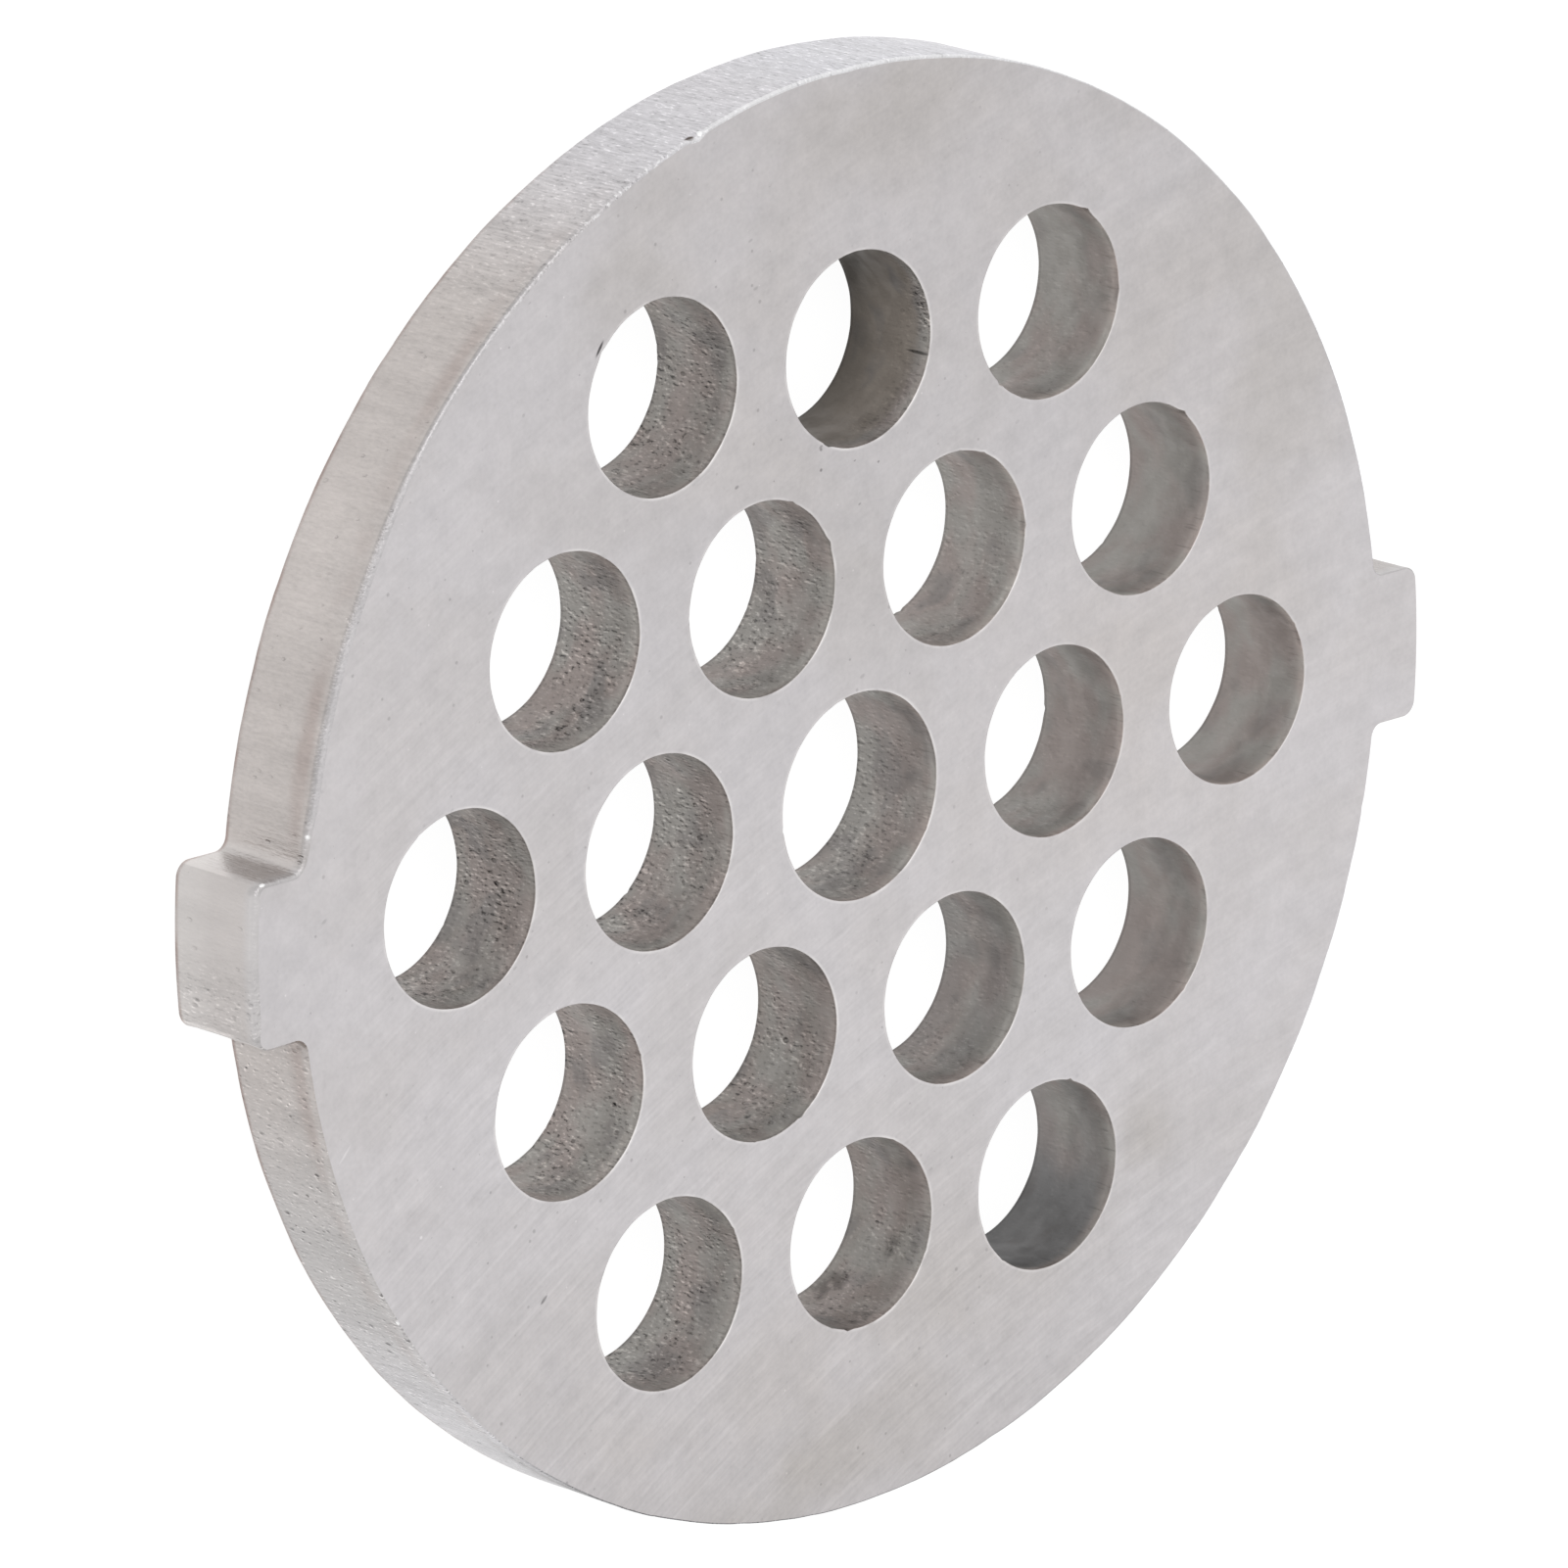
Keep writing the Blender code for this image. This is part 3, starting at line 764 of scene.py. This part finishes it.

    # the top of the rim next to the front edge, where shade is painted at the -X lug's root and corner
    shaded_top = between(tree, z, 3.6 * MM, 3.85 * MM)
    front_side = times(tree, between(tree, z, 0.3 * MM, 3.6 * MM), summed(tree, 1.0, (bright, -1.0), (on_lug, -1.0)))
    low_edge = times(tree, between(tree, z, 3.5 * MM, 3.75 * MM), between(tree, y, -4 * MM, -7 * MM))
    # tip_edge adds painted light on the rounding of the lug's tip edge
    tip_edge = times(tree, between(tree, aside, 2.75 * MM, 2.6 * MM), between(tree, z, 3.8 * MM, 3.95 * MM))
    shade = summed(tree, shade, (front_side, -0.05), (dull, 0.01), (skin, -0.03), (low_edge, 0.06), (tip_edge, 0.05))
    # painted light and shade on the -X lug: its flank darker, the flank's outer end and the root fillet lighter
    shade = summed(tree, shade, (flank, -0.06), (flank_end, 0.3), (times(tree, root, dull), 0.07))
    # painted shade at the lug's root and corner near the front edge
    shade = summed(tree, shade, (times(tree, root, shaded_top), -0.16), (times(tree, corner, shaded_top), -0.12))
    shade = summed(tree, shade, (spot(tree, (-23.2, 13.4, 1.6), (5, 6, 3)), 0.08))
    # painted shade low on the rim, where it turns away from view at a grazing angle
    grazing_shade = between(tree, y, -19 * MM, -24.5 * MM)
    back_grazing_shade = times(tree, grazing_shade, between(tree, z, -0.6 * MM, 3.2 * MM))
    front_grazing_shade = times(tree, grazing_shade, between(tree, z, 2.6 * MM, 3.7 * MM))
    shade = summed(tree, shade, (back_grazing_shade, -0.2), (front_grazing_shade, -0.42))

    # painted glints along the front edge, broken, but unbroken from x -11 to -5 mm
    glints = times(tree, between(tree, z, 3.97 * MM, 4.0 * MM), between(tree, y, 12 * MM, 18 * MM))
    glinting = times(tree, scraped, between(tree, blotches(tree, place, (0.16, 0.16, 0.16)), 0.55, 0.64))
    painted_edge_run = between(tree, x, -11 * MM, -5 * MM)
    glints = times(tree, glints, larger(tree, glinting, painted_edge_run))
    # painted shade: a thin dark line where the edge's rounding meets the face
    edge_shade_line = times(tree, between(tree, z, 4.08 * MM, 4.09 * MM), between(tree, y, 0, 10 * MM))
    edge_shade_line = times(tree, painted_edge_run, edge_shade_line)
    # painted shade that dims the lamp's highlight on the dubbed edge
    lit_line = times(tree, between(tree, z, 3.86 * MM, 3.94 * MM), between(tree, z, 4.07 * MM, 4.02 * MM))
    shade = summed(tree, shade, (edge_shade_line, -0.25), (times(tree, dubbed, lit_line), -0.2))

    # painted highlight at the bright end of the rim's nick
    lit_end = spot(tree, (-7.6, 25.6, 4.0), (0.14, 0.2, 0.14), core=0.4)
    corner_glint = spot(tree, (-28.38, 2.8, 4.03), (0.16, 0.08, 0.09), core=0.4)  # a painted glint on the front corner of the -X lug
    # painted glints on the rim's front edge
    dots = summed(
        tree,
        0.0,
        (spot(tree, (-26.27, 4.06, 4.02), (0.13, 0.13, 0.13), core=0.3), 1.0),
        (spot(tree, (-22.5, -14.4, 4.06), (0.13, 0.13, 0.13), core=0.3), 1.0),
    )
    # all the rim's painted glints and highlights, mixed towards white
    painted_highlights = summed(tree, 0.0, (glints, 0.5), (lit_end, 0.9), (corner_glint, 1.0), (dots, 0.9))
    colour = mixed(tree, painted_highlights, shaded(tree, colour, shade), linear("#F8F8F8"))
    tree.links.new(colour, surface.inputs["Base Color"])
    tree.links.new(summed(tree, 0.32, (mottle, 0.08), (grain, 0.1)), surface.inputs["Roughness"])
    height = summed(tree, 0.0, (streaks, 0.2), (grain, 0.15), (tall_pits, -0.6))
    tree.links.new(bumped(tree, height, 0.05 * MM), surface.inputs["Normal"])
    return material


def cast_bore():
    """Steel left as it was cast: dull grey-brown and clouded, with a gritty skin that catches the light.

    The skin's grains are about 0.14 mm, as a fine moulding sand leaves them.
    """
    material, tree, surface = new_steel("as_cast_steel")
    place = object_place(tree)
    x, _, z = add(tree, "ShaderNodeSeparateXYZ", {0: place}).outputs
    tone = mesh_values(tree, "tone")
    clouds = between(tree, blotches(tree, place, (2.4, 2.4, 1.6)), 0.36, 0.64)
    smoke = between(tree, blotches(tree, place, (2.0, 2.0, 1.5), shift=(7, 3, 0)), 0.54, 0.68)
    mottle = between(tree, blotches(tree, place, (0.8, 0.8, 0.7)), 0.36, 0.64)
    near_front = between(tree, z, 2.9 * MM, 3.7 * MM)

    gritty = between(tree, blotches(tree, place, (2.2, 2.2, 2.2), detail=1.0), 0.4, 0.58)
    gritty = times(tree, summed(tree, 0.35, (gritty, 0.65)), between(tree, x, 18 * MM, -8 * MM))
    gritty = times(tree, gritty, summed(tree, 1.0, (near_front, -0.5)))
    gritty = summed(tree, 0.08, (times(tree, gritty, between(tree, tone, 0.45, 0.85)), 0.92))
    grit = embossed(tree, place, (0.14, 0.14, 0.3), (0.0, -0.06, -0.05), detail=3.0)
    grains, hollows = between(tree, grit, 0.09, 0.2), between(tree, grit, -0.09, -0.2)
    streaks = between(tree, blotches(tree, place, (0.12, 0.12, 1.2)), 0.42, 0.3)
    dark_pits, crescents = lit_pits(tree, place, 0.45, 0.13, (1, 1, 1.5), (0, -0.06, -0.05))
    glints = pits(tree, place, 0.8, 0.12)

    crack = spot(tree, (3.47, 15.6, 3.55), (0.4, 0.07, 0.7), core=0.5)
    crumbled = spot(tree, (3.3, 17.3, 3.9), (1.5, 1.6, 0.7))
    deep_pit = spot(tree, (-3.71, -11.62, 2.07), (0.2, 0.2, 0.16), core=0.3)
    soot = summed(  # dark patches low in the middle hole of the bottom row
        tree,
        0.0,
        (spot(tree, (1.5, -19.6, 0.8), (1.5, 1.0, 0.8), core=0.4), 1.0),
        (spot(tree, (3.1, -18.15, 2.5), (0.5, 0.7, 0.6), core=0.3), 1.0),
        (spot(tree, (0.2, -19.95, 3.3), (1.3, 0.6, 0.7), core=0.3), 1.0),
    )
    soot = times(tree, soot, between(tree, blotches(tree, place, (0.6, 0.6, 0.5), detail=3.0), 0.4, 0.6))
    # painted shade: a thin dark line just inside the front edge
    front_shade_line = times(tree, between(tree, z, 3.95 * MM, 4.0 * MM), between(tree, mottle, 0.1, 0.6))
    front_shade_line = times(tree, front_shade_line, between(tree, x, 8 * MM, -4 * MM))
    # front_glow is painted light on the wall near the opening
    front_glow = times(tree, between(tree, z, 3.65 * MM, 4.05 * MM), between(tree, x, -8 * MM, 10 * MM))

    dark_tint = mixed(tree, between(tree, x, 4 * MM, 6 * MM), linear("#A69D94"), linear("#9B9A9A"))
    colour = mixed(tree, clouds, linear("#A89F9B"), linear("#A29F9B"))
    colour = mixed(tree, between(tree, tone, 0.85, 0.6), colour, dark_tint)
    smoke = times(tree, smoke, summed(tree, 0.7, (between(tree, x, 6 * MM, 14 * MM), -0.25)))
    colour = mixed(tree, smoke, colour, linear("#8E8A88"))
    rough = summed(tree, 0.0, (grit, 0.7), (grains, 0.58), (hollows, -0.52), (dark_pits, -0.38), (crescents, 0.32))
    rough = summed(tree, rough, (glints, 0.8))
    gritty = summed(tree, gritty, (crumbled, 1.6))
    shade = summed(tree, 0.98, (clouds, 0.1), (mottle, 0.12), (0.5, -0.22), (times(tree, gritty, rough), 1.0))
    shade = summed(tree, shade, (times(tree, streaks, near_front), -0.2), (front_shade_line, -0.15), (front_glow, 0.27))
    shade = summed(tree, shade, (crack, -0.7), (soot, -0.4), (deep_pit, -0.6))
    shade = summed(tree, shade, (between(tree, z, 0.2 * MM, 0.12 * MM), -0.2))
    shade = times(tree, shade, tone)

    # painted highlight along the holes' front edges, patchy, and fading towards +X
    painted_highlights = times(tree, mesh_values(tree, "edge_highlight"), between(tree, mottle, -0.4, 0.8))
    painted_highlights = times(tree, painted_highlights, less_far_off(tree, x))
    colour = mixed(tree, times(tree, painted_highlights, 0.9), shaded(tree, colour, shade), linear("#E4E0DE"))
    tree.links.new(colour, surface.inputs["Base Color"])
    tree.links.new(summed(tree, 0.45, (mottle, 0.15)), surface.inputs["Roughness"])
    height = summed(tree, 0.0, (times(tree, gritty, grit), 0.7), (mottle, 0.15), (times(tree, gritty, dark_pits), -0.8))
    tree.links.new(bumped(tree, height, 0.05 * MM), surface.inputs["Normal"])
    return material


# Studio

FLOOR_HALF = 1.5
FLOOR_DROP = 0.01 * MM  # the floor lies this far under the back face
FLOOR_GLOW = 0.93  # what the floor gives off by itself, to the camera and the metal
FLOOR_COLOUR = 0.17  # kept low, so that the plate's shadow on it stays faint
WORLD_PLAIN = 0.75  # the world's level in the diffuse light
KEY_LAMP_PLACE = (-0.30, 0.50, 0.55)
KEY_LAMP_SIZE = 0.5
KEY_LAMP_POWER = 1.0


def seen_directly(tree):
    """1 for camera, glossy and transmission rays, and 0 for the rays of diffuse light."""
    path = add(tree, "ShaderNodeLightPath").outputs
    return larger(tree, larger(tree, path["Is Camera Ray"], path["Is Glossy Ray"]), path["Is Transmission Ray"])


def studio_floor():
    """A plain pale floor that the camera and the metal see white, with the plate's soft shadow left on it."""
    mesh = bpy.data.meshes.new("floor")
    corners = [(-1, -1), (1, -1), (1, 1), (-1, 1)]
    mesh.from_pydata([(x * FLOOR_HALF, y * FLOOR_HALF, -FLOOR_DROP) for x, y in corners], [], [(0, 1, 2, 3)])
    floor = bpy.data.objects.new("floor", mesh)
    bpy.context.scene.collection.objects.link(floor)
    material = bpy.data.materials.new("floor_white")
    material.use_nodes = True
    tree = material.node_tree
    tree.nodes.clear()
    matt = add(tree, "ShaderNodeBsdfDiffuse", {"Color": (FLOOR_COLOUR, FLOOR_COLOUR, FLOOR_COLOUR, 1.0)})
    strength = summed(tree, 0.0, (seen_directly(tree), FLOOR_GLOW))
    glow = add(tree, "ShaderNodeEmission", {"Strength": strength})
    both = add(tree, "ShaderNodeAddShader", {0: matt.outputs[0], 1: glow.outputs[0]})
    add(tree, "ShaderNodeOutputMaterial", {"Surface": both.outputs[0]})
    material.cycles.emission_sampling = "NONE"
    mesh.materials.append(material)


def studio_world():
    """White to the camera and in the metal, and a plain level for the light on everything matt."""
    world = bpy.data.worlds.new("studio")
    bpy.context.scene.world = world
    world.use_nodes = True
    tree = world.node_tree
    tree.nodes.clear()
    strength = summed(tree, WORLD_PLAIN, (seen_directly(tree), 1.0 - WORLD_PLAIN))
    white = add(tree, "ShaderNodeBackground", {"Color": (1.0, 1.0, 1.0, 1.0), "Strength": strength})
    add(tree, "ShaderNodeOutputWorld", {"Surface": white.outputs[0]})


def soft_lamp(name, place, size, power):
    """A square lamp turned to the plate's middle, and not seen by the camera."""
    light = bpy.data.lights.new(name, "AREA")
    light.shape = "SQUARE"
    light.size = size
    light.energy = power
    lamp = bpy.data.objects.new(name, light)
    bpy.context.scene.collection.objects.link(lamp)
    lamp.location = place
    lamp.rotation_euler = (-Vector(place)).to_track_quat("-Z", "Y").to_euler()
    lamp.visible_camera = False


def photo_camera():
    """The camera at its azimuth, elevation and distance from its aim, rolled about its view."""
    azimuth, elevation, roll = (math.radians(a) for a in (CAMERA_AZIMUTH, CAMERA_ELEVATION, CAMERA_ROLL))
    back = Vector((
        math.sin(azimuth) * math.cos(elevation),
        -math.cos(azimuth) * math.cos(elevation),
        math.sin(elevation),
    ))
    level = Vector((math.cos(azimuth), math.sin(azimuth), 0))
    upright = back.cross(level)
    up = upright * math.cos(roll) + level * math.sin(roll)
    right = up.cross(back)
    lens = bpy.data.cameras.new("photo_camera")
    lens.lens = CAMERA_LENS
    lens.sensor_width = SENSOR_WIDTH
    lens.clip_start, lens.clip_end = CAMERA_CLIP
    camera = bpy.data.objects.new("photo_camera", lens)
    bpy.context.scene.collection.objects.link(camera)
    turn = Matrix((right, up, back)).transposed().to_4x4()
    camera.matrix_world = Matrix.Translation(Vector(CAMERA_AIM) + back * CAMERA_DISTANCE) @ turn
    bpy.context.scene.camera = camera


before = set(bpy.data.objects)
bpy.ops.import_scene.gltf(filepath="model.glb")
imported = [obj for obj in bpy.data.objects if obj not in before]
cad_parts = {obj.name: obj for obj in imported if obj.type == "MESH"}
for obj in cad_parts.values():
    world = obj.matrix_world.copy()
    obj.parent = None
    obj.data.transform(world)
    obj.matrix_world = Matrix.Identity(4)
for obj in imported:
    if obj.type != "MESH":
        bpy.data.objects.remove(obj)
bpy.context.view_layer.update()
bpy.context.scene.view_settings.view_transform = "Standard"

plate = plate_piece([ground_face(), dressed_rim(), cast_bore()])
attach(plate, "root")
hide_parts("grinder_plate")

studio_floor()
studio_world()
soft_lamp("key_lamp", KEY_LAMP_PLACE, KEY_LAMP_SIZE, KEY_LAMP_POWER)
photo_camera()
